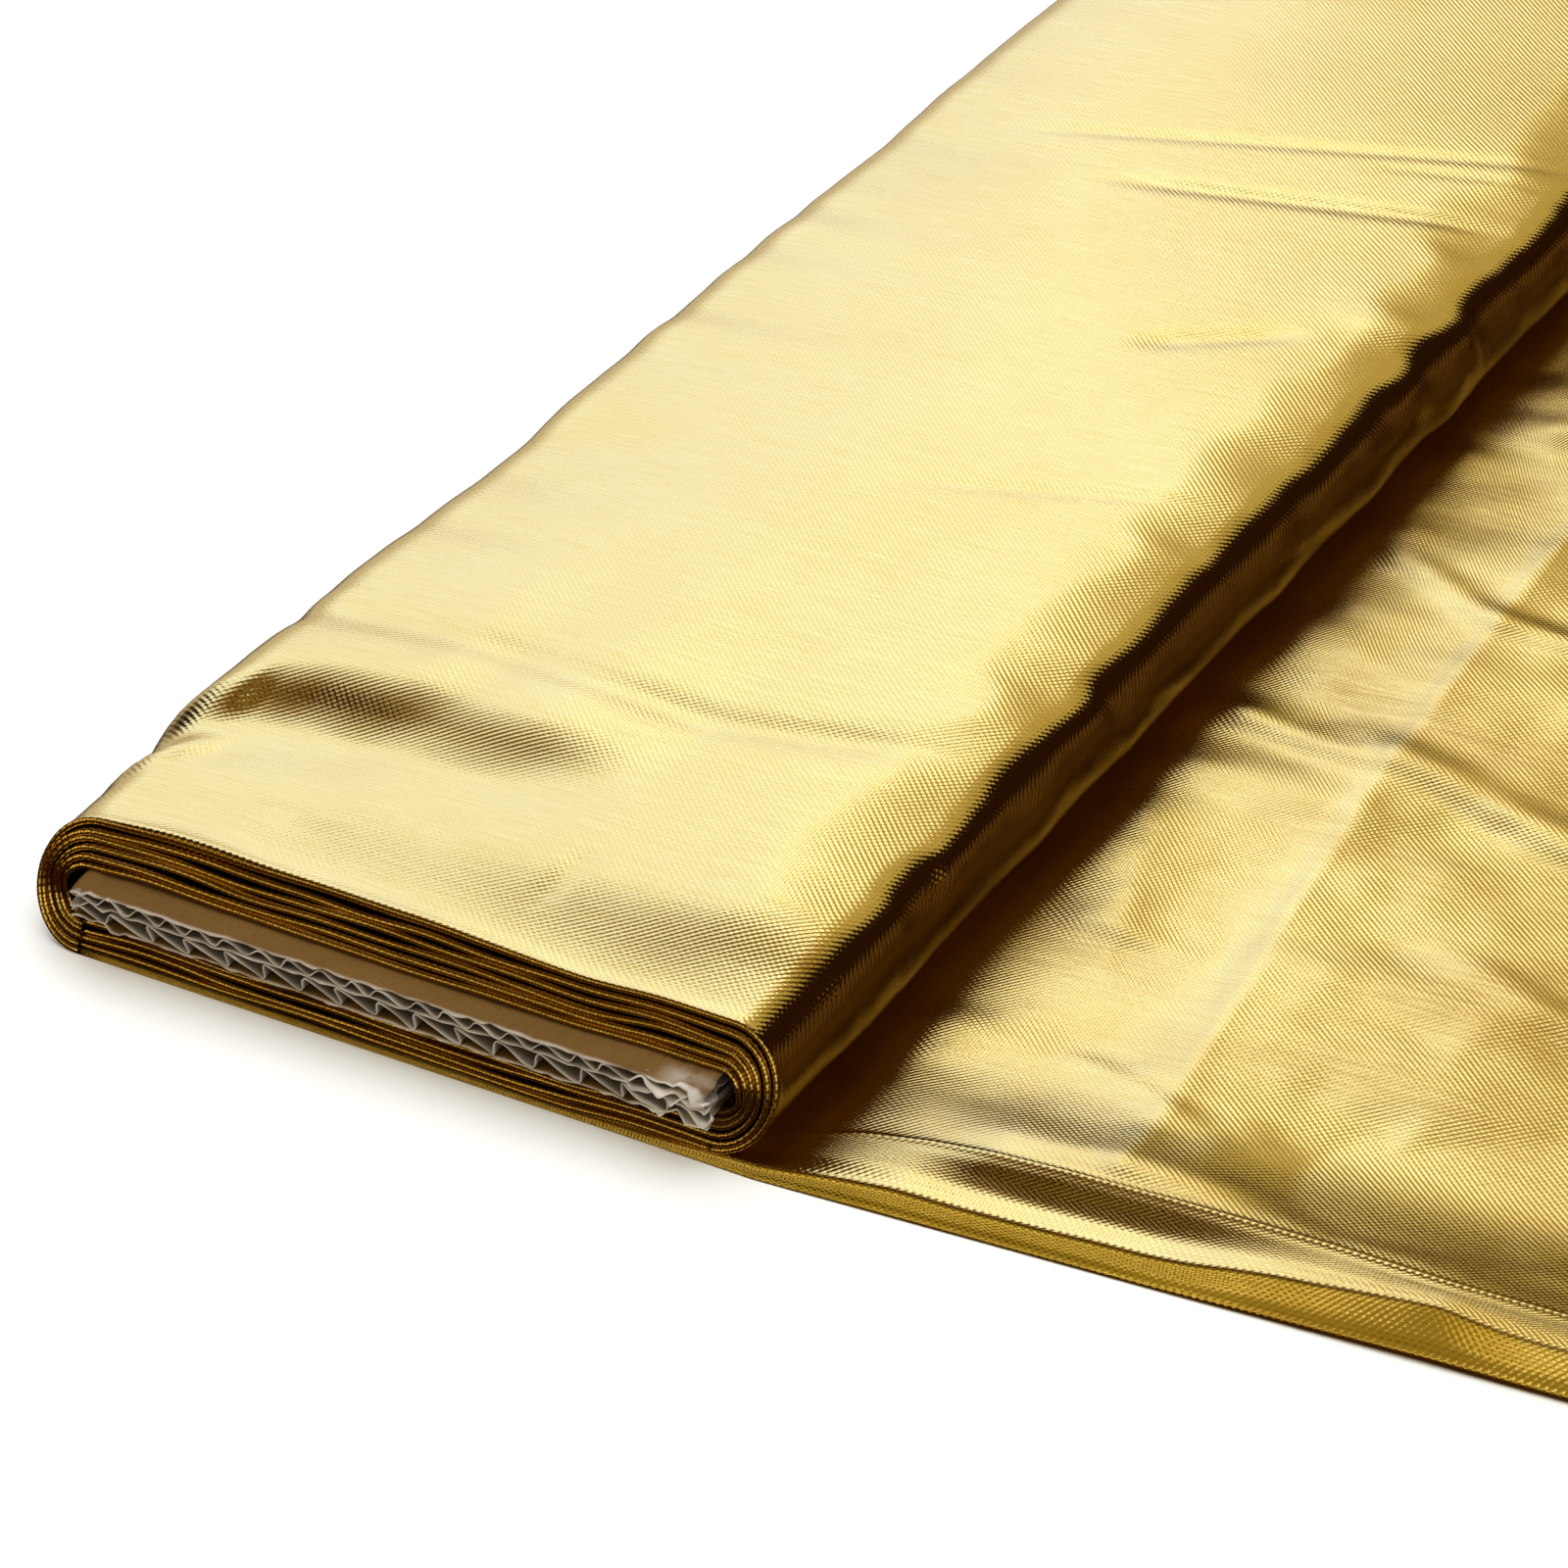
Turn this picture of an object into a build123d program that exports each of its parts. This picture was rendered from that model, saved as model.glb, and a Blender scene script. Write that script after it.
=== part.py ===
from build123d import *
import os
from math import atan2, cos, floor, pi, radians, sin, tan

# A bolt of metallic cloth: one length of cloth, folded in half along its length with the fold at the near end,
# wound flat round a double-wall corrugated board. The loose end runs out to the right from under the bolt.
#
# Frame: +X across the bolt towards the loose end, +Y along the bolt away from the folded edge, +Z up. The origin
# is on the resting plane, under the middle of the board.

# ---- Driving dimensions, mm -------------------------------------------------------------------------------------

# Core board: three flat papers (liners) with a corrugated paper (medium) in each of the two gaps between them.
board_width = 128
board_overhang = 14
liner_thickness = 0.4
medium_thickness = 0.25
upper_flute_height = 2.2
upper_flute_pitch = 6.4
lower_flute_height = 3.4
lower_flute_pitch = 8.0
glue_line = 0.02

# Cloth: two plies lie together everywhere, because the cloth is folded in half.
ply_thickness = 0.4
ply_gap = 0.1
folded_width = 560
turn_count = 6
turn_gap = 0.3
board_clearance = 0.3

# The bottom plies end just behind the board's near face, and each ply above ends a little further back.
lowest_setback = 1.5
highest_setback = 11.5

# Loose end: it is turned a little from the bolt, and its folded near edge stands up in a soft roll.
tail_length = 285
tail_turn = 4.3
roll_depth = 19
roll_height = 7
roll_start_height = 1.3
roll_growth_length = 150
roll_gap = 0.3
seam_gap = 1.2

# ---- What follows from them -------------------------------------------------------------------------------------

board_length = folded_width + board_overhang
board_thickness = 3 * liner_thickness + upper_flute_height + lower_flute_height
cloth_thickness = 2 * ply_thickness + ply_gap
turn_pitch = cloth_thickness + turn_gap

# Seen from the near end the winding is a flat spiral about two centres. The left round ends share one centre.
# The right ones share another, half a pitch higher, so that each joins a turn's top to the turn inside it below.
centre_x = board_width / 2
pocket_height = board_thickness + 2 * board_clearance
radius_0 = (pocket_height + cloth_thickness - turn_pitch) / 2
radius_outer = radius_0 + turn_count * turn_pitch
left_centre_z = cloth_thickness / 2 + radius_outer
right_centre_z = left_centre_z + turn_pitch / 2
board_bottom_z = right_centre_z - board_thickness / 2
bolt_height = left_centre_z + radius_outer + cloth_thickness / 2

near_face_y = -board_length / 2
tail_near_y = near_face_y + lowest_setback
setback_slope = (highest_setback - lowest_setback) / bolt_height

# The corner of the loose end, at the foot of the bolt's right side, and the two directions of its rectangle.
along = Vector(cos(radians(tail_turn)), sin(radians(tail_turn)))
inward = Vector(-sin(radians(tail_turn)), cos(radians(tail_turn)))
corner = Vector(centre_x + radius_outer - turn_pitch, tail_near_y)

# The bolt turns over its left side about this axis. Half a turn carries the bolt over by the length of cloth on
# the left round end, so that its old top lands on the floor where that cloth runs out flat.
turn_over_x = -centre_x - pi * radius_outer / 2
turn_over_z = left_centre_z


def across_bolt(y):
    """A plane across the bolt at y: its x is the row's +X and its y is the row's +Z."""
    return Plane(origin=(0, y, 0), x_dir=(1, 0, 0), z_dir=(0, -1, 0))


def save(piece, name):
    piece.label = name
    export_step(piece, f"parts/{name}.step")


# ---- Core board -------------------------------------------------------------------------------------------------


def liner(bottom_z):
    """One flat paper of the board, with its underside at bottom_z."""
    with BuildPart() as paper:
        with BuildSketch(Plane.XY.offset(bottom_z)):
            Rectangle(board_width, board_length)
        extrude(amount=liner_thickness)
    return paper.part


def corrugated_medium(bottom_z, height, pitch):
    """One corrugated paper: waves of equal arcs across the board, between two liners height apart."""
    middle_z = bottom_z + height / 2
    crest = height / 2 - glue_line - medium_thickness / 2
    half_wave = pitch / 2
    half_waves = floor((board_width - medium_thickness) / half_wave)
    start_x = -half_waves * half_wave / 2
    half = medium_thickness / 2
    arc_radius = (half_wave**2 / 4 + crest**2) / (2 * crest)
    lean = atan2(half_wave / 2, arc_radius - crest)

    def joint(step, side):
        """The edge of the paper where a crest turns into a trough, on its upper (+1) or lower (-1) side."""
        rising = 1 if step % 2 == 0 else -1
        x = start_x + step * half_wave - rising * side * half * sin(lean)
        return (x, middle_z + side * half * cos(lean))

    def edge(step, side):
        """The arc of one half wave, crest or trough, on the paper's upper or lower side."""
        up = 1 if step % 2 == 0 else -1
        top = (start_x + (step + 0.5) * half_wave, middle_z + up * crest + side * half)
        return ThreePointArc(joint(step, side), top, joint(step + 1, side))

    with BuildPart() as paper:
        with BuildSketch(across_bolt(near_face_y)):
            with BuildLine():
                for step in range(half_waves):
                    edge(step, 1)
                    edge(step, -1)
                Line(joint(0, 1), joint(0, -1))
                Line(joint(half_waves, 1), joint(half_waves, -1))
            make_face()
        extrude(amount=board_length, dir=(0, 1, 0))
    return paper.part


lower_flute_z = board_bottom_z + liner_thickness
middle_liner_z = lower_flute_z + lower_flute_height
upper_flute_z = middle_liner_z + liner_thickness
top_liner_z = upper_flute_z + upper_flute_height

core_bottom_liner = liner(board_bottom_z)
core_lower_flute = corrugated_medium(lower_flute_z, lower_flute_height, lower_flute_pitch)
core_middle_liner = liner(middle_liner_z)
core_upper_flute = corrugated_medium(upper_flute_z, upper_flute_height, upper_flute_pitch)
core_top_liner = liner(top_liner_z)

# ---- Wound cloth ------------------------------------------------------------------------------------------------


def cut_plane(y):
    """The slanted plane in which the stacked plies end, through y on the resting plane. It faces +Y."""
    return Plane(origin=(0, y, 0), x_dir=(1, 0, 0), z_dir=(0, 1, -setback_slope))


def cloth_turn(number):
    """One turn: up the left round end, over the top, down the right end and back under to the turn inside."""
    outer = radius_0 + number * turn_pitch + cloth_thickness / 2
    inner = outer - cloth_thickness
    right_outer = outer - turn_pitch / 2
    right_inner = inner - turn_pitch / 2
    with BuildPart() as turn:
        with BuildSketch(across_bolt(near_face_y)):
            with BuildLine():
                for left_r, right_r in ((outer, right_outer), (inner, right_inner)):
                    left_top = (-centre_x, left_centre_z + left_r)
                    right_top = (centre_x, left_centre_z + left_r)
                    right_bottom = (centre_x, right_centre_z - right_r)
                    left_middle = (-centre_x - left_r, left_centre_z)
                    right_middle = (centre_x + right_r, right_centre_z)
                    ThreePointArc((-centre_x, left_centre_z - left_r), left_middle, left_top)
                    Line(left_top, right_top)
                    ThreePointArc(right_top, right_middle, right_bottom)
                    Line(right_bottom, (-centre_x, right_centre_z - right_r))
                Line((-centre_x, left_centre_z - outer), (-centre_x, left_centre_z - inner))
                Line((-centre_x, right_centre_z - right_outer), (-centre_x, right_centre_z - right_inner))
            make_face()
        extrude(amount=board_length + highest_setback, dir=(0, 1, 0))
        split(bisect_by=cut_plane(tail_near_y), keep=Keep.TOP)
        split(bisect_by=cut_plane(tail_near_y + folded_width), keep=Keep.BOTTOM)
    return turn.part


# ---- Loose end --------------------------------------------------------------------------------------------------


def flat_outline():
    """The flat part of the loose end: a strip under the bolt, then a rectangle turned about its corner."""
    left_x = -centre_x + seam_gap
    roll_back = inward * (roll_depth + roll_gap)
    beside_roll = along * -roll_gap
    far = inward * folded_width
    square_corner = corner + far + along * (folded_width * tan(radians(tail_turn)))
    points = [
        Vector(left_x, tail_near_y),
        corner + beside_roll,
        corner + beside_roll + roll_back,
        corner + roll_back + along * tail_length,
        corner + far + along * tail_length,
        square_corner,
        Vector(left_x, tail_near_y + folded_width),
    ]
    return [(p.X, p.Y) for p in points]


def tail_ply(bottom_z):
    """One ply of the loose end, with its underside at bottom_z."""
    with BuildPart() as ply:
        with BuildSketch(Plane.XY.offset(bottom_z)):
            with BuildLine():
                Polyline(*flat_outline(), close=True)
            make_face()
        extrude(amount=ply_thickness)
    return ply.part


tail_lower_ply = tail_ply(0)
tail_upper_ply = tail_ply(ply_thickness + ply_gap)

# The roll's section is flat below, round in front and on top, and thins to the two plies at its back.
with BuildPart() as tail_near_fold:
    for distance, height in (
        (0, roll_start_height),
        (roll_growth_length, roll_height),
        (tail_length, roll_height),
    ):
        foot = corner + along * distance
        section = Plane(origin=(foot.X, foot.Y, 0), x_dir=(inward.X, inward.Y, 0), z_dir=(along.X, along.Y, 0))
        with BuildSketch(section):
            with BuildLine():
                back_top = (roll_depth, cloth_thickness)
                front = (0, height * 0.35)
                Line((height * 0.35, 0), (roll_depth, 0))
                Line((roll_depth, 0), back_top)
                ThreePointArc(back_top, (roll_depth * 0.42, height), front)
                ThreePointArc(front, (height * 0.1, height * 0.1), (height * 0.35, 0))
            make_face()
    loft(ruled=True)

# ---- Files ------------------------------------------------------------------------------------------------------

os.makedirs("parts", exist_ok=True)
save(core_top_liner, "core_top_liner")
save(core_upper_flute, "core_upper_flute")
save(core_middle_liner, "core_middle_liner")
save(core_lower_flute, "core_lower_flute")
save(core_bottom_liner, "core_bottom_liner")
for number in range(1, turn_count + 1):
    save(cloth_turn(number), f"cloth_turn_{number}")
save(tail_lower_ply, "tail_lower_ply")
save(tail_upper_ply, "tail_upper_ply")
save(tail_near_fold.part, "tail_near_fold")

print(f"bolt height {bolt_height:.3f} mm, board {board_thickness:.2f} mm thick")
print(f"left centre z {left_centre_z:.3f} mm, outer radius {radius_outer:.3f} mm")
print(f"turn-over axis at x {turn_over_x:.3f}, z {turn_over_z:.3f} mm")
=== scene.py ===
import bpy
import numpy as np
from math import cos, pi, radians, sin
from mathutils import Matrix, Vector


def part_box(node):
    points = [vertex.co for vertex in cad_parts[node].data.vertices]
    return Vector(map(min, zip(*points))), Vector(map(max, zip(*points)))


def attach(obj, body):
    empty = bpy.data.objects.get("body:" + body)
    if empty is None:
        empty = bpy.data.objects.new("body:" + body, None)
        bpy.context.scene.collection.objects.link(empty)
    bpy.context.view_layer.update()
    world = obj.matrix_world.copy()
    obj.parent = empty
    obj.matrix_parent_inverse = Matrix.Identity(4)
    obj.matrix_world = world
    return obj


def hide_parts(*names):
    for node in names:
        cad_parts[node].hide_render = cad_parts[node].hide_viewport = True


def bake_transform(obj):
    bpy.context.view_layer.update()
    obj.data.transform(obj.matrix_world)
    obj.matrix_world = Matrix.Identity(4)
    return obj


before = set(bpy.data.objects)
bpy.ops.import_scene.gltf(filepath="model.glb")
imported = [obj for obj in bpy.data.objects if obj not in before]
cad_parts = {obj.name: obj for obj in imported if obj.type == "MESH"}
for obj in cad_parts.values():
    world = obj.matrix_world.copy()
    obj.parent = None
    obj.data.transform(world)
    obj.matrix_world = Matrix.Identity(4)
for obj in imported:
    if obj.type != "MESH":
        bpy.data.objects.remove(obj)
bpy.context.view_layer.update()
mm = 0.001

# ---- Camera ---------------------------------------------------------------------------------------
# A long lens looks down on the bolt's near end from the front right. It is aimed at the middle of the bolt,
# a little way in from that end.

board_low, board_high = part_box("core_top_liner")
near_y = board_low.y
camera_azimuth = radians(28.87)
camera_elevation = radians(32.57)
camera_roll = radians(0.28)
camera_distance = 1108.8 * mm
aim = Vector((27.2 * mm, near_y + 95.7 * mm, 12 * mm))
bpy.ops.object.select_all(action="DESELECT")
bpy.ops.object.camera_add(rotation=(pi / 2 - camera_elevation, 0, camera_azimuth))
camera = bpy.context.object
towards_camera = Vector((sin(camera_azimuth) * cos(camera_elevation),
                         -cos(camera_azimuth) * cos(camera_elevation), sin(camera_elevation)))
camera.location = aim + towards_camera * camera_distance
camera.rotation_euler.rotate_axis("Z", camera_roll)
camera.data.sensor_width = 36
camera.data.lens = 139.85
camera.data.clip_start = 0.05
camera.data.clip_end = 50
bpy.context.scene.camera = camera

# ---- Studio ---------------------------------------------------------------------------------------
# A pale floor under one large soft window at the back left, with weaker lights and a dim brown room round
# the rest. The cloth is nearly a mirror, so each of its slopes has the tone of whatever it faces.


def softbox(name, azimuth, elevation, distance, width, height, radiance, colour, lights_cloth=True):
    """A soft area light aimed at the bolt. Its azimuth runs from +Y towards +X, in degrees like its
    elevation, and its distance and sides are in metres."""
    turned, raised = radians(azimuth), radians(elevation)
    direction = Vector((sin(turned) * cos(raised), cos(turned) * cos(raised), sin(raised)))
    bpy.ops.object.light_add(type="AREA", location=direction * distance)
    light = bpy.context.object
    light.name = name
    light.rotation_euler = direction.to_track_quat("Z", "Y").to_euler()
    light.data.shape = "RECTANGLE"
    light.data.size = width
    light.data.size_y = height
    light.data.energy = radiance * pi * width * height
    light.data.color = colour
    light.visible_camera = False
    light.visible_glossy = lights_cloth


bpy.ops.mesh.primitive_plane_add(size=12)
floor = bpy.context.object
floor.name = "studio_floor"
floor_paint = bpy.data.materials.new("floor_white")
floor_paint.use_nodes = True
floor_shader = floor_paint.node_tree.nodes["Principled BSDF"]
floor_shader.inputs["Base Color"].default_value = (0.86, 0.86, 0.86, 1)
floor_shader.inputs["Roughness"].default_value = 0.9
floor_shader.inputs["Specular IOR Level"].default_value = 0.1
floor.data.materials.append(floor_paint)
floor.visible_glossy = False

warm = (1.0, 0.78, 0.40)
softbox("window", -40, 31, 7, 4.4, 5.2, 1.04, (0.96, 1.07, 1.52))
softbox("window_edge", -9, 33, 7, 3.4, 5.2, 0.52, (1.0, 0.86, 0.44))
softbox("high_glow", -35, 64, 6, 4, 1.9, 0.21, (1.0, 0.62, 0.12))
softbox("left_sweep", -40, -4, 7, 4.4, 3.6, 0.62, (1.0, 0.93, 0.80))
softbox("overhead", 0, 89, 6, 2.1, 2.1, 0.7, (1.0, 0.98, 0.92))
softbox("front_window", 158, 33, 7, 4.4, 3.6, 0.85, (1.0, 0.97, 0.9))
softbox("front_strip", 204, 24, 6, 5, 0.9, 0.95, (1.0, 0.84, 0.52))
softbox("side_strip", 50, 10, 7, 5.4, 1.3, 0.12, (1.0, 0.60, 0.18))
softbox("right_fill", 88, 36, 6, 3.8, 3.0, 0.4, warm)
softbox("left_fill", -115, 30, 6, 3.5, 3, 0.8, warm)
softbox("floor_wash", 0, 88, 5, 9, 9, 2.0, (0.96, 1.0, 1.05), lights_cloth=False)
world = bpy.data.worlds.new("studio")
bpy.context.scene.world = world
world.use_nodes = True
sky = world.node_tree
heading = sky.nodes.new("ShaderNodeTexCoord")


def sky_ramp(share_y, share_z, low, high):
    """0 to 1 over the room, along the direction that takes these shares of y and z, from low to high."""
    lean = sky.nodes.new("ShaderNodeVectorMath")
    lean.operation = "DOT_PRODUCT"
    lean.inputs[1].default_value = (0, share_y, share_z)
    sky.links.new(heading.outputs["Generated"], lean.inputs[0])
    ramp = sky.nodes.new("ShaderNodeMapRange")
    ramp.interpolation_type = "SMOOTHSTEP"
    ramp.inputs["From Min"].default_value = low
    ramp.inputs["From Max"].default_value = high
    sky.links.new(lean.outputs["Value"], ramp.inputs["Value"])
    return ramp.outputs[0]


def sky_mix(factor, below, above):
    """One colour fading into another. Each is three numbers or another fade."""
    mix = sky.nodes.new("ShaderNodeMix")
    mix.data_type = "RGBA"
    sky.links.new(factor, mix.inputs[0])
    for socket, value in ((mix.inputs[6], below), (mix.inputs[7], above)):
        if isinstance(value, tuple):
            socket.default_value = (*value, 1)
        else:
            sky.links.new(value, socket)
    return mix.outputs[2]


# In front the room is dark brown at floor level and dull gold higher up. At the back it is nearly black.
front_of_room = sky_mix(sky_ramp(0, 1, -0.12, 0.30), (0.060, 0.022, 0.007), (0.34, 0.265, 0.060))
whole_room = sky_mix(sky_ramp(1, 0.3, -0.20, 0.12), front_of_room, (0.028, 0.009, 0.003))
sky.links.new(whole_room, sky.nodes["Background"].inputs["Color"])
bpy.context.scene.view_settings.view_transform = "Standard"
bpy.context.scene.view_settings.gamma = 0.88

# ---- Core board -----------------------------------------------------------------------------------
# A board of double-wall corrugated card, cut with a knife: five papers glued together. The two outer liners
# are brown kraft paper, the rest is grey recycled paper. Its cut ends are bruised, and its near right corner
# is crushed and torn.


class Socket:
    """A shader value that can be used in a Python sum: each operator adds its Math node."""

    def __init__(self, paint, socket):
        self.paint = paint
        self.socket = socket

    def _maths(self, operation, a, b=0.0):
        return self.paint.add("ShaderNodeMath", {"operation": operation}, {0: a, 1: b})

    def __add__(self, other):
        return self._maths("ADD", self, other)

    def __sub__(self, other):
        return self._maths("SUBTRACT", self, other)

    def __rsub__(self, other):
        return self._maths("SUBTRACT", other, self)

    def __mul__(self, other):
        return self._maths("MULTIPLY", self, other)

    def __pow__(self, other):
        return self._maths("POWER", self, other)

    def sine(self):
        return self._maths("SINE", self)

    def absolute(self):
        return self._maths("ABSOLUTE", self)

    def clamped(self):
        return self.paint.add("ShaderNodeClamp", {}, {0: self})

    def between(self, low, high):
        """0 below low, 1 above high, smooth between them."""
        return self.paint.add("ShaderNodeMapRange", {"interpolation_type": "SMOOTHSTEP"},
                              {"Value": self, "From Min": low, "From Max": high})

    __radd__ = __add__
    __rmul__ = __mul__


class Paint:
    """A material. add() makes one node from its type, its settings and the values or links of its inputs."""

    def __init__(self, name):
        self.material = bpy.data.materials.new(name)
        self.material.use_nodes = True
        self.tree = self.material.node_tree
        self.shader = self.tree.nodes["Principled BSDF"]

    def add(self, kind, settings, inputs, output=0):
        node = self.tree.nodes.new(kind)
        for key, value in settings.items():
            setattr(node, key, value)
        for key, value in inputs.items():
            self._feed(node.inputs[key], value)
        return Socket(self, node.outputs[output])

    def _feed(self, target, value):
        if isinstance(value, Socket):
            self.tree.links.new(value.socket, target)
        elif isinstance(value, tuple) and len(value) == 3 and target.type == "RGBA":
            target.default_value = (*value, 1)
        else:
            target.default_value = value

    def feed(self, name, value):
        """Links a value that changes over the surface to the shader."""
        self._feed(self.shader.inputs[name], value)

    def keep(self, name, value):
        """Sets one of the shader's inputs to a value that is the same all over."""
        self.shader.inputs[name].default_value = value

    def noise(self, vector, scale, detail, roughness=0.5):
        return self.add("ShaderNodeTexNoise", {},
                        {"Vector": vector, "Scale": scale, "Detail": detail, "Roughness": roughness})

    def stretched(self, vector, x, y, z):
        return self.add("ShaderNodeMapping", {}, {"Vector": vector, "Scale": (x, y, z)})

    def mix(self, factor, a, b):
        """Colour a where the factor is 0, b where it is 1."""
        return self.add("ShaderNodeMix", {"data_type": "RGBA"}, {0: factor, 6: a, 7: b}, output=2)

    def bump(self, height, distance):
        self.feed("Normal", self.add("ShaderNodeBump", {},
                                     {"Height": height, "Distance": distance, "Strength": 1.0}))

    def part_of(self, vector, axis):
        """One of the vector's three numbers."""
        return self.add("ShaderNodeSeparateXYZ", {}, {0: vector}, output="XYZ".index(axis))

    def place(self):
        """Object coordinates, in metres."""
        return self.add("ShaderNodeTexCoord", {}, {}, output=3)

    def own_map(self):
        """The piece's own UV map, in metres of cloth."""
        return self.add("ShaderNodeTexCoord", {}, {}, output=2)


def paper(name, light, dark, fleck_colour):
    """Matte paper: cloudy tone, fine fibres along the board, darker flecks, and a pale bruised cut end."""
    paint = Paint(name)
    place = paint.place()
    clouds = paint.noise(place, 90, 3)
    fibres = paint.noise(paint.stretched(place, 1, 0.08, 1), 2600, 2)
    flecks = paint.noise(place, 1500, 1).between(0.66, 0.74)
    colour = paint.mix(clouds * 0.6 + fibres * 0.4, dark, light)
    colour = paint.mix(flecks * 0.5, colour, fleck_colour)
    x, y = paint.part_of(place, "X"), paint.part_of(place, "Y")
    outward = near_y - y
    cut = outward.between(-0.9 * mm, 0.2 * mm)
    torn = x.between(board_high.x - 11 * mm, board_high.x - 4 * mm) * outward.between(-7 * mm, -3 * mm)
    bare = (cut * 0.75 + torn * clouds.between(0.3, 0.6) * 0.55).clamped()
    colour = paint.mix(bare, colour, (0.60, 0.55, 0.50))
    paint.feed("Base Color", colour)
    paint.keep("Roughness", 0.86)
    paint.keep("Specular IOR Level", 0.25)
    paint.bump(fibres * 0.6 + clouds * 0.4, 0.08 * mm)
    return paint.material


# Kraft brown, set darker than the paper's own tone as painted shade from the cloth plies over it.
kraft = paper("kraft_liner_paper", (0.215, 0.118, 0.030), (0.120, 0.062, 0.016), (0.05, 0.025, 0.010))
grey_paper = paper("grey_flute_paper", (0.30, 0.25, 0.21), (0.15, 0.12, 0.10), (0.06, 0.045, 0.035))
chance = np.random.default_rng(11)


def smooth(value, low, high):
    """0 below low, 1 above high, smooth between them."""
    t = np.clip((value - low) / (high - low), 0, 1)
    return t * t * (3 - 2 * t)


def lattice(rows, columns=1):
    """Seeded values for ripples() to run through."""
    return chance.normal(size=(rows, columns)).clip(-1.6, 1.6)


def ripples(grid, x, y=0.0):
    """A smooth wavy value through the lattice, one lattice step for each unit of x and y."""
    rows, columns = grid.shape
    i, j = np.floor(x), np.floor(y + 0 * x)
    a, b = x - i, y - j
    a, b = a * a * (3 - 2 * a), b * b * (3 - 2 * b)

    def at(di, dj):
        return grid[((i + di) % rows).astype(int), ((j + dj) % columns).astype(int)]

    return (at(0, 0) * (1 - a) + at(1, 0) * a) * (1 - b) + (at(0, 1) * (1 - a) + at(1, 1) * a) * b


def grid_sheet(name, columns, rows, place, thickness, material):
    """A sheet with a line of points at each value of columns and of rows. place(column, row) gives each
    point's x, y, z and its two map coordinates, in metres."""
    bpy.ops.object.select_all(action="DESELECT")
    bpy.ops.mesh.primitive_grid_add(x_subdivisions=len(columns) - 1, y_subdivisions=len(rows) - 1, size=1)
    piece = bpy.context.object
    piece.name = name
    mesh = piece.data
    flat = np.empty(len(mesh.vertices) * 3, np.float32)
    mesh.vertices.foreach_get("co", flat)
    flat = flat.reshape(-1, 3)
    column = np.rint((flat[:, 0] + 0.5) * (len(columns) - 1)).astype(int)
    row = np.rint((flat[:, 1] + 0.5) * (len(rows) - 1)).astype(int)
    x, y, z, u, v = place(columns[column], rows[row])
    mesh.vertices.foreach_set("co", np.stack([x, y, z], 1).astype(np.float32).ravel())
    corner = np.empty(len(mesh.loops), np.int32)
    mesh.loops.foreach_get("vertex_index", corner)
    mesh.uv_layers[0].data.foreach_set("uv", np.stack([u, v], 1)[corner].astype(np.float32).ravel())
    mesh.update()
    mesh.materials.append(material)
    wall = piece.modifiers.new("wall", "SOLIDIFY")
    wall.thickness = thickness
    wall.offset = 0
    bpy.ops.object.modifier_apply(modifier="wall")
    bpy.ops.object.shade_smooth()
    return piece


def steps(*stops):
    """Values from stop to stop: each stop after the first is (value, number of steps to it)."""
    values = [stops[0]]
    for value, count in stops[1:]:
        values += list(np.linspace(values[-1], value, count + 1)[1:])
    return np.array(values)


board_half_width = board_high.x
crushed_from = board_half_width - 17 * mm
flute_wall = 0.2 * mm
columns_per_flute = 16
board_rows = steps(board_low.y, (board_low.y + 12 * mm, 12), (board_low.y + 60 * mm, 6),
                   (board_high.y - 60 * mm, 10), (board_high.y - 12 * mm, 5), (board_high.y, 8))
bruise_map = lattice(40, 12)


def bruise(x, y, level):
    """How far the knife and handling have bent a paper up or down: most at the cut ends and the corners."""
    behind_cut = y - board_low.y
    end = np.exp(-behind_cut / (5 * mm)) + 0.7 * np.exp(-(board_high.y - y) / (5 * mm))
    corner = 0.35 + 1.7 * smooth(np.abs(x), board_half_width - 16 * mm, board_half_width - 2 * mm)
    crumple = smooth(x, crushed_from, crushed_from + 8 * mm) * np.exp(-behind_cut / (4 * mm))
    return (0.50 * mm * end * corner * ripples(bruise_map, x / (2.6 * mm) + 40, level + y / (9 * mm) + 8)
            + 1.0 * mm * crumple * ripples(bruise_map, x / (1.3 * mm) + 13, 2 * level + y / (1.6 * mm)))


def ragged(x, y, level):
    """The knife leaves each paper's near edge a little short or long, and the crushed corner is torn off."""
    edge = np.exp(-(y - board_low.y) / (4 * mm))
    corner = 0.5 + 1.2 * smooth(x, board_half_width - 18 * mm, board_half_width - 6 * mm)
    burst = smooth(x, crushed_from, crushed_from + 9 * mm)
    return edge * (corner * (0.45 * mm * ripples(bruise_map, x / (1.9 * mm) + 35, level * 2.5) + 0.25 * mm)
                   - burst * (1.1 * mm + 0.9 * mm * ripples(bruise_map, x / (1.4 * mm) + 7, level * 1.7)))


def spread(x, y, level):
    """The crushed right corner has burst sideways into the round end of the cloth."""
    burst = smooth(x, board_half_width - 12 * mm, board_half_width) * np.exp(-(y - board_low.y) / (6 * mm))
    return burst * (1.6 * mm + 1.2 * mm * ripples(bruise_map, y / (2.2 * mm) + 3, level * 1.3))


def flat_paper(node, level):
    """One liner: flat, bruised at its ends. The middle one is of the grey paper."""
    low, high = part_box(node)
    middle = (low.z + high.z) / 2

    def place(x, y):
        return x + spread(x, y, level), y + ragged(x, y, level), middle + bruise(x, y, level), x, y

    outer = node != "core_middle_liner"
    columns = steps(-board_half_width, (board_half_width, 90))
    liner = grid_sheet(node.replace("core", "board"), columns, board_rows, place, 0.7 * (high.z - low.z),
                       kraft if outer else grey_paper)
    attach(liner, "core")
    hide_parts(node)


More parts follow.
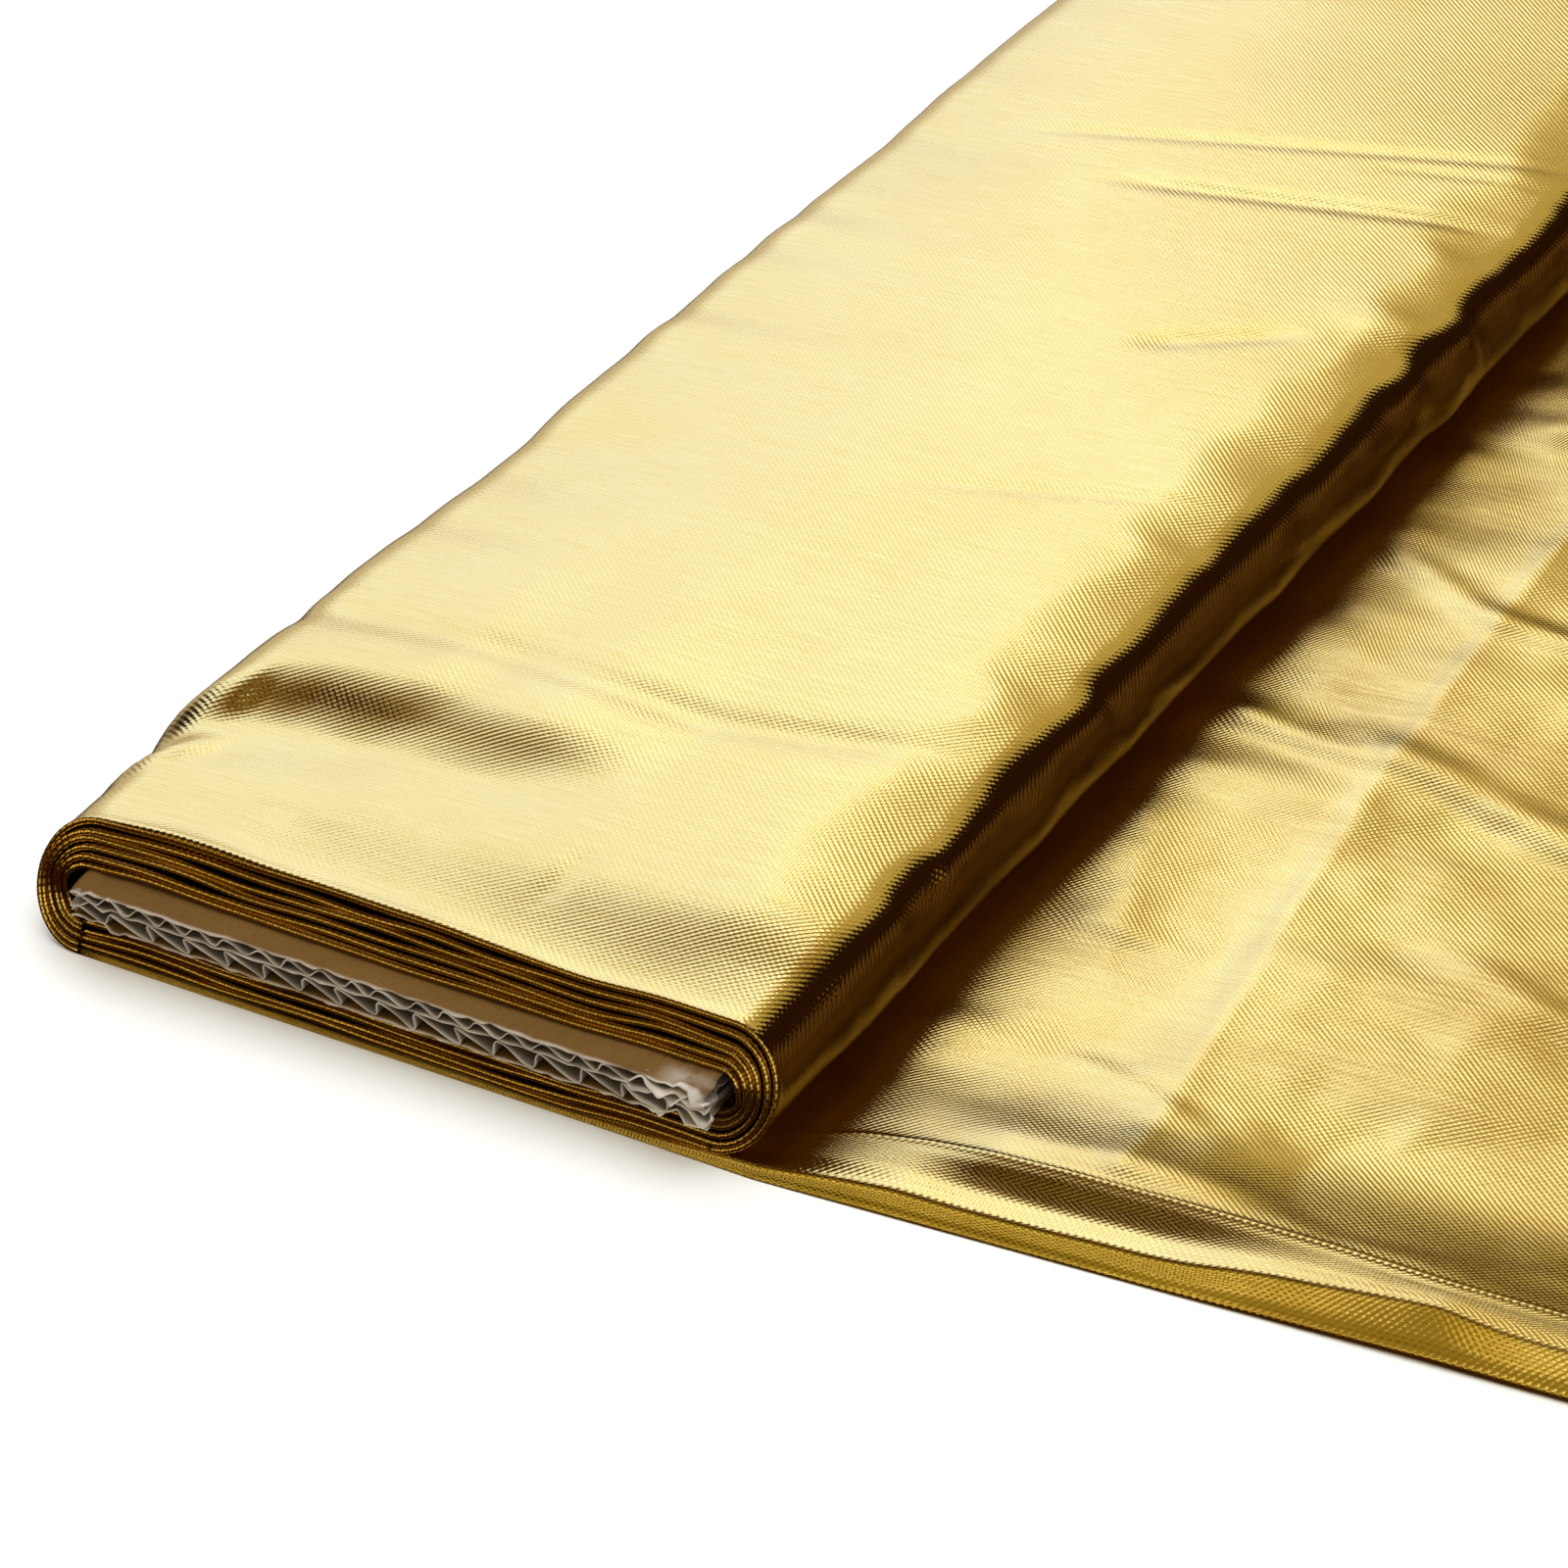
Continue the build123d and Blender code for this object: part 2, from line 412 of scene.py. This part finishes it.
def fluted_paper(node, flute_pitch, lean, level):
    """One corrugated paper, pressed over sideways by lean, between the liners above and below it."""
    low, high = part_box(node)
    middle = (low.z + high.z) / 2
    crest = (high.z - low.z) / 2 - 0.12 * mm
    slump = lattice(60)

    def place(x, y):
        phase = 2 * pi * x / flute_pitch
        crush = 1 - 0.25 * smooth(np.abs(x), board_half_width - 12 * mm, board_half_width)
        wave = np.sin(phase + 0.35 * ripples(slump, x / flute_pitch + 30))
        swing = lean * (0.7 + 0.3 * ripples(slump, x / flute_pitch + 11, y / (40 * mm))) * wave
        wander = 0.5 * mm * ripples(bruise_map, x / (7 * mm) + 20, level + y / (30 * mm) + 9)
        leaned = np.clip(x - swing + wander, -board_half_width, board_half_width)
        return (leaned + spread(x, y, level), y + ragged(x, y, level),
                middle + crest * crush * wave + 0.6 * bruise(x, y, level), x, y)

    columns = np.linspace(-board_half_width, board_half_width,
                          int(2 * board_half_width / flute_pitch * columns_per_flute))
    waves = grid_sheet(node.replace("core", "board"), columns, board_rows, place, flute_wall, grey_paper)
    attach(waves, "core")
    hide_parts(node)


flat_paper("core_top_liner", 4)
fluted_paper("core_upper_flute", 6.4 * mm, 0.5 * mm, 3)
flat_paper("core_middle_liner", 2)
fluted_paper("core_lower_flute", 8.0 * mm, 2.1 * mm, 1)
flat_paper("core_bottom_liner", 0)

# ---- Wound cloth ----------------------------------------------------------------------------------
# Thin plain-woven cloth of flat metallic gold yarn, folded in half along its length and wound flat round the
# board, six turns deep. Each turn's near edge is the soft unpressed fold, its far edge the two selvedges.


def lame(name, slope_shade, fold_shade_strength):
    """Gold lamé: a plain weave of flat metal yarns, with streaks along the turn and dark gaps between the
    yarns. rumpled paints in duller, browner patches as shade for the tilted slopes of the cloth, and makes
    them rougher. fold_shade_strength paints a dark maroon shade along the near fold, at v = 0, darkest in
    the gaps."""
    paint = Paint(name)
    cloth = paint.own_map()
    u, v = paint.part_of(cloth, "X"), paint.part_of(cloth, "Y")
    yarn = 0.7 * mm
    over = (u * (pi / yarn)).sine() * (v * (pi / yarn)).sine()
    streaks = paint.noise(paint.stretched(cloth, 1, 26, 1), 75, 4, 0.65)
    slubs = paint.noise(paint.stretched(cloth, 1, 9, 1), 700, 1)
    clouds = paint.noise(cloth, 22, 2)
    gaps = (1 - over.absolute()) ** 3
    tone = (streaks * 0.6 + slubs * 0.2 + clouds * 0.2).between(0.38, 0.62)
    colour = paint.mix(tone, (0.91, 0.71, 0.23), (0.97, 0.80, 0.31))
    colour = paint.mix(gaps * 0.22, colour, (0.45, 0.26, 0.05))
    # Painted shade: the band round the near fold is darkened to maroon, most of all in the weave's gaps.
    if fold_shade_strength:
        fold_band = 1 - v.absolute().between(0.5 * mm, 1.5 * mm)
        painted_fold_shade = (fold_band * fold_shade_strength * (gaps * 0.9 + 0.35)).clamped()
        colour = paint.mix(painted_fold_shade, colour, (0.25, 0.078, 0.018))
    roughness = tone * -0.04 + gaps * 0.06 + 0.13
    # Painted shade: duller, browner patches stand in for the darker sheen of the cloth's tilted slopes; they
    # also make it rougher.
    if slope_shade:
        patches = paint.noise(paint.stretched(cloth, 1, 2.2, 1), 13, 2, 0.5).between(0.36, 0.72)
        streaked_shade = paint.noise(paint.stretched(cloth, 1, 14, 1), 60, 3, 0.6).between(0.35, 0.7)
        dull = patches * 0.35 + patches * streaked_shade * 0.65
        colour = paint.mix(dull * slope_shade, colour, (0.66, 0.44, 0.12))
        roughness = roughness + dull * 0.10
    paint.feed("Base Color", colour)
    paint.feed("Roughness", roughness)
    paint.keep("Metallic", 1.0)
    paint.keep("Coat Weight", 0.12)
    paint.keep("Coat Roughness", 0.35)
    paint.bump(over * 0.44 + slubs * 0.26 + streaks * 0.45, 0.055 * mm)
    return paint.material


# The wound turns' cloth carries painted shade along each near fold.
gold = lame("gold_lame_weave", 0.0, 0.85)
turns = len([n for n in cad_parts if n.startswith("cloth_turn_")])
outer_low, outer_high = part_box(f"cloth_turn_{turns}")
centre_x = board_half_width
left_z = (outer_low.z + outer_high.z) / 2
turn_pitch = outer_high.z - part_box(f"cloth_turn_{turns - 1}")[1].z
right_z = left_z + turn_pitch / 2
doubled_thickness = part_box("tail_upper_ply")[1].z
ply_height = doubled_thickness / 4
cloth_wall = 0.14 * mm
outer_radius = outer_high.z / 2 - doubled_thickness / 2
folded_width = 560 * mm
setback = 1.5 * mm
slant = (11.5 * mm - setback) / outer_high.z


def winding(length, radius):
    """A point on a turn, by the length of cloth wound since its start under the left end: its x and z, and
    the outward direction's x and z."""
    right_radius = radius - turn_pitch / 2
    left_end = pi * radius
    top_end = left_end + 2 * centre_x
    right_end = top_end + pi * right_radius
    stretches = [length < left_end, length < top_end, length < right_end]
    phi = np.clip(length / radius, 0, pi)
    psi = np.clip((length - top_end) / right_radius, 0, pi)
    x = np.select(stretches, [-centre_x - radius * np.sin(phi), length - left_end - centre_x,
                              centre_x + right_radius * np.sin(psi)], centre_x - (length - right_end))
    z = np.select(stretches, [left_z - radius * np.cos(phi), left_z + radius,
                              right_z + right_radius * np.cos(psi)], right_z - right_radius)
    nx = np.select(stretches, [-np.sin(phi), 0.0, np.sin(psi)], 0.0)
    nz = np.select(stretches, [-np.cos(phi), 1.0, np.cos(psi)], -1.0)
    return x, z, nx, nz


def doubled(across, fold):
    """The doubled cloth's section by the distance across it, which is above 0 on the outer ply and below 0
    on the inner one. Gives the depth behind the near fold and the height over the middle of the cloth."""
    depth = np.abs(across)
    side = np.where(across >= 0, 1.0, -1.0)
    round_part = depth < fold * pi / 2
    angle = np.clip(depth / fold, 0, pi / 2)
    bulge = ply_height + (fold - ply_height) * np.exp(-np.maximum(depth - fold * pi / 2, 0) / (fold * 2.2))
    y = np.where(round_part, fold * (1 - np.cos(angle)), depth - fold * (pi / 2 - 1))
    height = side * np.where(round_part, fold * np.sin(angle), bulge)
    return y, height


edge_map = lattice(64, turns + 2)


def near_edge(x, z, number):
    """Where a turn's near fold lies along the bolt: further back the higher it lies, and a little uneven."""
    wander = (0.45 * mm * ripples(edge_map, x / (17 * mm) + 20, 0)
              + 0.16 * mm * ripples(edge_map, x / (17 * mm) + 20 + 3 * number, number))
    forward = 2.8 * mm * (1 - number / turns) * smooth(z, left_z - 3 * mm, left_z + 3 * mm)
    return near_y + setback + slant * z + wander - forward


def slack(x, z, number):
    """The upper plies lie loose at their near fold and lift off the board a little, the outer ones most."""
    above = smooth(z, left_z, left_z + 4 * mm)
    hump = np.exp(-((x + 38 * mm) / (22 * mm)) ** 2) + 0.85 * np.exp(-((x - 2 * mm) / (20 * mm)) ** 2)
    return above * hump * 0.35 * mm * number / turns * (1 + number / turns)


def wound_turn(number):
    """One inner turn: only its two ends show, so it is smooth between them. The folds differ a little."""
    radius = outer_radius - (turns - number) * turn_pitch
    length = pi * (2 * radius - turn_pitch / 2) + 4 * centre_x
    fold = 0.47 * mm + 0.04 * mm * ((number * 7) % 3)

    def place(along, across):
        x, z, nx, nz = winding(along, radius)
        depth, height = doubled(across, fold)
        near_lift = 0.28 * mm * ripples(edge_map, along / (14 * mm) + 9 * number, number + 0.5)
        height += near_lift * np.exp(-depth / (18 * mm))
        height += 0.1 * mm * ripples(edge_map, along / (23 * mm), depth / (60 * mm))
        height += slack(x, z, number) * np.exp(-depth / (16 * mm))
        y = near_edge(x, z, number) + depth
        return x + nx * height, y, z + nz * height, along, across

    reach = folded_width + fold * (pi / 2 - 1)
    quarter = fold * pi / 2
    rows = steps(-reach, (-60 * mm, 6), (-8 * mm, 6), (-quarter, 5), (0, 4), (quarter, 4), (8 * mm, 5),
                 (60 * mm, 8), (reach - 10 * mm, 8), (reach, 3))
    turn = grid_sheet(f"wound_turn_{number}", np.linspace(0, length, 190), rows, place, cloth_wall, gold)
    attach(turn, "bolt")
    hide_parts(f"cloth_turn_{number}")


for number in range(1, turns):
    wound_turn(number)

# ---- Outermost turn -------------------------------------------------------------------------------
# The same cloth's last turn, from where it leaves the loose end below the left side, over the top, down the
# right side and back below the board. It lies slack, so it puckers across its round ends and carries the
# creases of handling.

left_end = pi * outer_radius
top_end = left_end + 2 * centre_x
outer_length = top_end + pi * (outer_radius - turn_pitch / 2)
pucker_map = lattice(80, 8)
cloud_map = lattice(60, 30)


def run_through(x, *points):
    """The y at x of a line that runs straight from point to point. The points are in mm."""
    xs, ys = np.array(points).T * mm
    return np.interp(x, xs, ys)


def crease(x, y, start, end, depth, width):
    """A crease of that depth and half width along the line from start to end, all in mm."""
    start_x, start_y = start[0] * mm, start[1] * mm
    run_x, run_y = end[0] * mm - start_x, end[1] * mm - start_y
    span = (run_x * run_x + run_y * run_y) ** 0.5
    along = ((x - start_x) * run_x + (y - start_y) * run_y) / span
    off = ((x - start_x) * run_y - (y - start_y) * run_x) / span
    fade = smooth(along, -0.15 * span, 0.2 * span) * (1 - smooth(along, 0.75 * span, 1.15 * span))
    return depth * mm * fade * np.exp(-(off / (width * mm)) ** 2)


def top_relief(x, y, nx, wound):
    """How far the outermost turn stands off its round shape: y is the distance from the board's near end,
    and wound the distance along the cloth from the middle of the top."""
    side = np.abs(nx)
    right = smooth(x, 40 * mm, centre_x + 6 * mm)
    left = smooth(-x, 20 * mm, centre_x + 4 * mm)
    # It bulges a little, and falls away over the right shoulder in lobes.
    lobe_x = 51 * mm + 6.0 * mm * np.tanh(ripples(pucker_map, y / (15 * mm) + 61, 7))
    fall = np.clip((wound - lobe_x) / (74 * mm - lobe_x), 0, 1)
    crown = np.where(x < 0, 2.9 - 2.0 * np.clip(x / centre_x, -1, 0) ** 2, 2.9 * (1 - fall**1.45))
    crown = crown * mm * smooth(y, -60 * mm, 60 * mm)
    rise = crown + 0.22 * mm * ripples(cloud_map, y / (46 * mm), x / (60 * mm) + 5)
    # Between its puckers the right shoulder is squarer.
    round_part = np.clip((wound - centre_x) / outer_radius, 0, pi / 2)
    square = 0.75 * mm + 0.75 * mm * np.tanh(ripples(pucker_map, y / (13 * mm) + 23, 1))
    rise += square * np.sin(2 * round_part) ** 2 * smooth(y, 4 * mm, 18 * mm)
    # Puckers run down the round ends.
    right = right * (0.35 + 0.65 * smooth(y, 25 * mm, 60 * mm))
    rise += right * (0.50 * mm * ripples(pucker_map, y / (21 * mm) + 3, 0.3 * x / (20 * mm))
                     + 0.17 * mm * ripples(pucker_map, y / (8.5 * mm) + 11, 2 + 0.3 * x / (20 * mm)))
    rise += 0.05 * mm * side * ripples(pucker_map, y / (2.6 * mm) + 30, 5) * (x > 0)
    calm = 1 - np.exp(-(((y - 56 * mm) / (19 * mm)) ** 4))
    rise += left * calm * (0.72 * mm * np.tanh(ripples(pucker_map, y / (27 * mm) + 41, 4))
                           + 0.22 * mm * ripples(pucker_map, y / (10 * mm) + 17, 6))
    # The slack behind the near end stands up in a step, steep at the left and dying out to the right.
    line = run_through(x, (-80, 36), (-72, 45), (-67, 53), (-62, 59), (-52, 62), (-30, 63.5), (-10, 64),
                       (40, 67))
    strength = (0.90 + 0.10 * smooth(x, -66 * mm, -48 * mm)) * (1 - 0.30 * smooth(x, -40 * mm, -24 * mm)
                                                                  - 0.70 * smooth(x, -14 * mm, 18 * mm))
    behind = np.exp(-np.maximum(y - line - 9 * mm, 0) / (38 * mm))
    before = np.exp(-np.maximum(line - y - 9 * mm, 0) / (13 * mm))
    step = np.tanh((y - line) / (8.6 * mm))
    rise += 2.7 * mm * strength * np.where(step > 0, step * 1.15 * behind, step * 0.95 * before)
    # A small bump stands in front of the step, over the left end.
    on_end = smooth(-x, 55 * mm, 67 * mm)
    past = y - 34 * mm - 1.2 * (x + 66 * mm)
    bump = (np.tanh(past / (3 * mm)) + 1) * np.exp(-np.maximum(past - 5 * mm, 0) / (8 * mm))
    rise += 0.7 * mm * on_end * bump
    # A soft shallow trough runs across the top behind the step.
    trough = y - run_through(x, (-60, 89), (-30, 91), (0, 90), (17, 90), (39, 96), (66, 103))
    rise -= 0.72 * mm * np.exp(-((trough / (5 * mm)) ** 2)) * (1 - smooth(x, 40 * mm, 64 * mm))
    # Fine creases of handling, most of them far up the top.
    for start, end, depth, width in (
        ((-42, 334), (66, 371), 0.45, 1.7), ((-15, 320), (64, 339), 0.65, 2.4),
        ((20, 257), (46, 275), 0.50, 3.0), ((4, 184), (58, 204), 0.28, 2.0),
        ((17.5, 25), (18, 43), 0.26, 1.8), ((30, 352), (70, 362), 0.3, 1.3),
        ((-43, 29), (-24, 24), 0.24, 1.6),
    ):
        rise -= crease(x, y, start, end, depth, width)
    # It cannot sink into the turns below.
    lowest, softness = 0.35 * mm, 0.25 * mm
    return softness * np.logaddexp(0, (rise + lowest) / softness) - lowest


def fold_size(x):
    """The near fold of the outermost turn is fattest over the left half of the board."""
    fat = np.exp(-((x + 44 * mm) / (20 * mm)) ** 2) + 0.55 * np.exp(-(x / (24 * mm)) ** 2)
    return 0.55 * mm + 0.60 * mm * fat


def outermost(along, across):
    """A point of the outermost turn's left end, top and right end."""
    x, z, nx, nz = winding(along, outer_radius)
    tight = 0.5 * mm
    fold = tight + (fold_size(x) - tight) * smooth(z, left_z + 4 * mm, left_z + outer_radius)
    depth, height = doubled(across, fold)
    y = near_edge(x, z, turns) + depth
    lift = (slack(x, z, turns) * np.exp(-depth / (20 * mm))
            + 0.75 * (fold - tight) * np.exp(-depth / (14 * mm)))
    start = smooth(along, 0, 14 * mm)
    relief = top_relief(x, y - near_y, nx, along - left_end - centre_x) * smooth(depth, 0, 28 * mm) * start
    # The inner ply hangs clear of the outer ply's dips.
    inner_relief = np.maximum(relief - 1.0 * mm * smooth(depth, 4 * mm, 40 * mm), -0.3 * mm)
    relief = np.where(across < 0, inner_relief, relief)
    low_end = smooth(along, outer_length - 12 * mm, outer_length)
    height = height + (lift + relief) * (1 - low_end)
    return x + nx * height, y, z + nz * height, along, across


def outermost_bottom(along, across):
    """A point of its stretch below the board, which lies flat."""
    x, z, nx, nz = winding(along + outer_length, outer_radius)
    depth, height = doubled(across, 0.45 * mm)
    y = near_edge(x, z, turns) + depth
    return x + nx * height, y, z + nz * height, along + outer_length, across


outer_columns = steps(0, (left_end, 26), (top_end - 40 * mm, 46), (top_end, 26), (outer_length, 34))
outer_rows = steps(-folded_width, (-40 * mm, 5), (-6 * mm, 4), (-0.8 * mm, 4), (0, 3), (0.8 * mm, 3),
                   (6 * mm, 6), (420 * mm, 218), (folded_width, 40))
outer_turn = grid_sheet("outermost_turn", outer_columns, outer_rows, outermost, cloth_wall, gold)
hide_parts(f"cloth_turn_{turns}")
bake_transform(outer_turn)

under_columns = np.linspace(0, 2 * centre_x, 90)
under_rows = steps(-folded_width, (-60 * mm, 5), (-8 * mm, 5), (-0.7 * mm, 4), (0, 4), (0.7 * mm, 4),
                   (8 * mm, 5), (60 * mm, 5), (folded_width, 8))
under_turn = grid_sheet("outermost_turn_below", under_columns, under_rows, outermost_bottom, cloth_wall,
                        gold)
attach(under_turn, "bolt")

# ---- Loose end ------------------------------------------------------------------------------------
# The last stretch of the cloth, drawn out flat to the right and turned a little from the bolt. Its folded
# near edge stands up in a soft roll in front of a pressed crease, and an old fold mark from the winding runs
# across it.

tail_turn = radians(4.3)
corner = Vector((centre_x + outer_radius - turn_pitch, near_y + setback, 0))
tail_length = (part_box("tail_near_fold")[1].x - corner.x) / cos(tail_turn)
roll_girth = 30 * mm
tail_map = lattice(50, 50)
tail_fine = lattice(80, 80)


def flat_relief(x, y):
    """How far the loose end's upper ply stands up: x from the middle of the bolt, y from the board's end."""
    open_part = smooth(x, 70 * mm, 84 * mm)
    rise = 0.60 * mm * (0.6 + ripples(tail_map, x / (34 * mm), y / (46 * mm)))
    rise += 0.24 * mm * ripples(tail_fine, x / (23 * mm) + 5, y / (13 * mm))
    rise -= 0.38 * mm * np.abs(ripples(tail_fine, x / (26 * mm) + 40, y / (31 * mm) + 9))
    rise += 0.06 * mm * ripples(tail_fine, x / (7 * mm) + 30, y / (5.5 * mm) + 9)
    # Short ripples where it comes out from under the bolt.
    rise += 0.6 * mm * ripples(tail_fine, y / (11 * mm), 3) * np.exp(-np.maximum(x - 74 * mm, 0) / (16 * mm))
    # The old fold mark: a sharp low ridge almost along the bolt.
    mark = x - run_through(y, (0, 131), (46, 127), (115, 119), (170, 114), (267, 110), (560, 92))
    rise += 0.85 * mm * np.where(mark < 0, np.exp(mark / (4 * mm)), np.exp(-mark / (12 * mm)))
    # Soft ridges of handling.
    for start, end, height, width in (
        ((78, 176), (112, 170), 0.7, 4.0), ((104, 178), (175, 158), 1.1, 5.5),
        ((80, 246), (112, 228), 0.9, 4.5), ((108, 229), (150, 226), 0.9, 4.0),
        ((104, 60), (134, 49), 0.3, 2.5), ((84, 100), (112, 96), 0.4, 4.0),
        ((80, 300), (140, 320), 1.0, 6.0), ((150, 120), (200, 100), 0.5, 4.5),
        ((180, 200), (260, 170), 1.0, 7.0), ((120, 380), (220, 360), 1.2, 7.0),
        ((200, 60), (300, 90), 0.7, 6.0), ((220, 300), (300, 250), 1.0, 7.0),
        ((90, 450), (180, 470), 1.3, 8.0),
    ):
        rise += crease(x, y, start, end, height, width)
    return np.maximum(rise, -0.25 * mm) * open_part


def spline(t, knots_t, values):
    """A smooth curve through the values at the knots, which vary from point to point of the sheet."""
    values = [v + 0 * t for v in values]
    result = 0 * t
    count = len(knots_t)
    for k in range(count - 1):
        before, after = max(k - 1, 0), min(k + 2, count - 1)
        span = knots_t[k + 1] - knots_t[k]
        slope_a = (values[k + 1] - values[before]) / (knots_t[k + 1] - knots_t[before]) * span
        slope_b = (values[after] - values[k]) / (knots_t[after] - knots_t[k]) * span
        p = np.clip((t - knots_t[k]) / span, 0, 1)
        curve = (values[k] * (2 * p**3 - 3 * p**2 + 1) + slope_a * (p**3 - 2 * p**2 + p)
                 + values[k + 1] * (3 * p**2 - 2 * p**3) + slope_b * (p**3 - p**2))
        inside = (t >= knots_t[k]) & ((t < knots_t[k + 1]) | (k == count - 2))
        result = np.where(inside, curve, result)
    return result


def crease_lip(s):
    """How far the pressed crease behind the roll stands up as a thin lip."""
    return 0.32 * mm * smooth(s, 0, 15 * mm)


def roll_section(t, s):
    """The near roll's outline from the pressed crease (t = 0) over its top and front and back underneath
    (t = 1), s along the edge from the bolt's foot: the depth behind the edge, and the height."""
    stations = np.array([-40, -20, 0, 12, 24, 36, 50, 70, 84, 98, 120, 155, 300]) * mm

    def profile(*values):
        return np.interp(s, stations, np.array(values) * mm)

    deep = profile(0.9, 3, 12.5, 16.0, 17.0, 16.4, 16.0, 15.8, 15.4, 15.0, 12.8, 12.6, 13.5)
    ridge = profile(0.8, 0.9, 1.4, 2.6, 3.9, 5.5, 6.2, 6.4, 6.5, 6.5, 7.2, 6.9, 6.4)
    high = profile(0.8, 0.9, 1.6, 2.6, 3.3, 3.3, 3.6, 4.2, 5.3, 6.0, 7.5, 6.8, 6.2)
    crest = profile(0.3, 0.8, 1.8, 2.3, 2.6, 2.7, 3.0, 3.4, 3.8, 4.0, 5.8, 5.2, 4.8)
    crest = crest * (1 + 0.14 * ripples(tail_map, s / (19 * mm) + 19, 8))
    high = high * (1 + 0.04 * ripples(tail_map, s / (24 * mm) + 7, 3))
    small = deep / (18 * mm)
    lip = crease_lip(s)
    low_band = np.minimum(high, 0.85 * high + 0.15 * ridge) - 0.15 * mm * small
    outline = (
        (0, deep, ridge + lip),
        (0.03, deep - 0.7 * mm * small, ridge + 0.2 * lip),
        (0.12, deep - 2.6 * mm * small, 0.84 * ridge + 0.16 * low_band),
        (0.28, 0.38 * crest + 0.62 * deep, 0.32 * ridge + 0.68 * low_band),
        (0.43, 0.60 * crest + 0.40 * deep, low_band),
        (0.56, crest, high),
        (0.62, crest - 0.9 * mm * small, high - 0.8 * mm * small),
        (0.77, 0.35 * crest, 0.42 * high),
        (0.85, 0.0, 0.14 * high),
        (0.91, 0.35 * crest, 0.1 * mm),
        (1.0, deep, ply_height),
    )
    knots, depths, heights = zip(*outline)
    return spline(t, knots, depths), spline(t, knots, heights)


def loose_end(s, across):
    """across runs from the far edge of the upper ply (folded_width) to the pressed crease (0), round the
    roll (down to -roll_girth) and along the lower ply to the far edge again."""
    upper = across > 0
    lower = across < -roll_girth
    t = np.clip(-across / roll_girth, 0, 1)
    roll_depth, roll_height = roll_section(t, s)
    crease_depth, crease_height = roll_section(0 * t, s)
    behind = np.where(upper, across, -across - roll_girth)
    flat_depth = crease_depth + behind * (1 - crease_depth / folded_width)
    depth = np.where(upper | lower, flat_depth, roll_depth)
    # The upper ply comes down from the crease, first from its thin lip.
    flat_height = doubled_thickness - ply_height
    lip = crease_lip(s)
    descent = (1 - smooth(across, -12 * mm, 36 * mm)) / (1 - smooth(0, -12 * mm, 36 * mm))
    settled = (flat_height + (crease_height - lip - flat_height) * descent
               + lip * np.exp(-(across / (0.9 * mm)) ** 2))
    height = np.where(upper, settled, np.where(lower, ply_height, roll_height))
    # Outside the bolt it turns away to its slant.
    turning = smooth(s, -4 * mm, 62 * mm)
    out = np.maximum(s, 0)
    x = corner.x + np.minimum(s, 0) + out * cos(tail_turn) - depth * sin(tail_turn) * turning
    y = corner.y + out * sin(tail_turn) + depth * (1 - (1 - cos(tail_turn)) * turning)
    height = height + flat_relief(x, y - near_y) * np.where(upper, smooth(across, 0, 9 * mm), 0)
    return x, y, height, s + corner.x - centre_x, across + 0.85 * roll_girth


tail_columns = steps(-centre_x - corner.x, (-30 * mm, 16), (0, 14), (150 * mm, 84), (tail_length, 52))
tail_rows = steps(-folded_width - roll_girth, (-roll_girth - 40 * mm, 8), (-roll_girth, 6), (0, 40),
                  (2.4 * mm, 5), (5 * mm, 2), (350 * mm, 165), (folded_width, 48))
# The loose end's cloth carries painted shade in duller, browner patches.
slope_shaded_gold = lame("gold_lame_slope_shade", 0.68, 0.0)
tail = grid_sheet("cloth_tail", tail_columns, tail_rows, loose_end, cloth_wall, slope_shaded_gold)
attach(tail, "tail")
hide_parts("tail_lower_ply", "tail_upper_ply", "tail_near_fold")
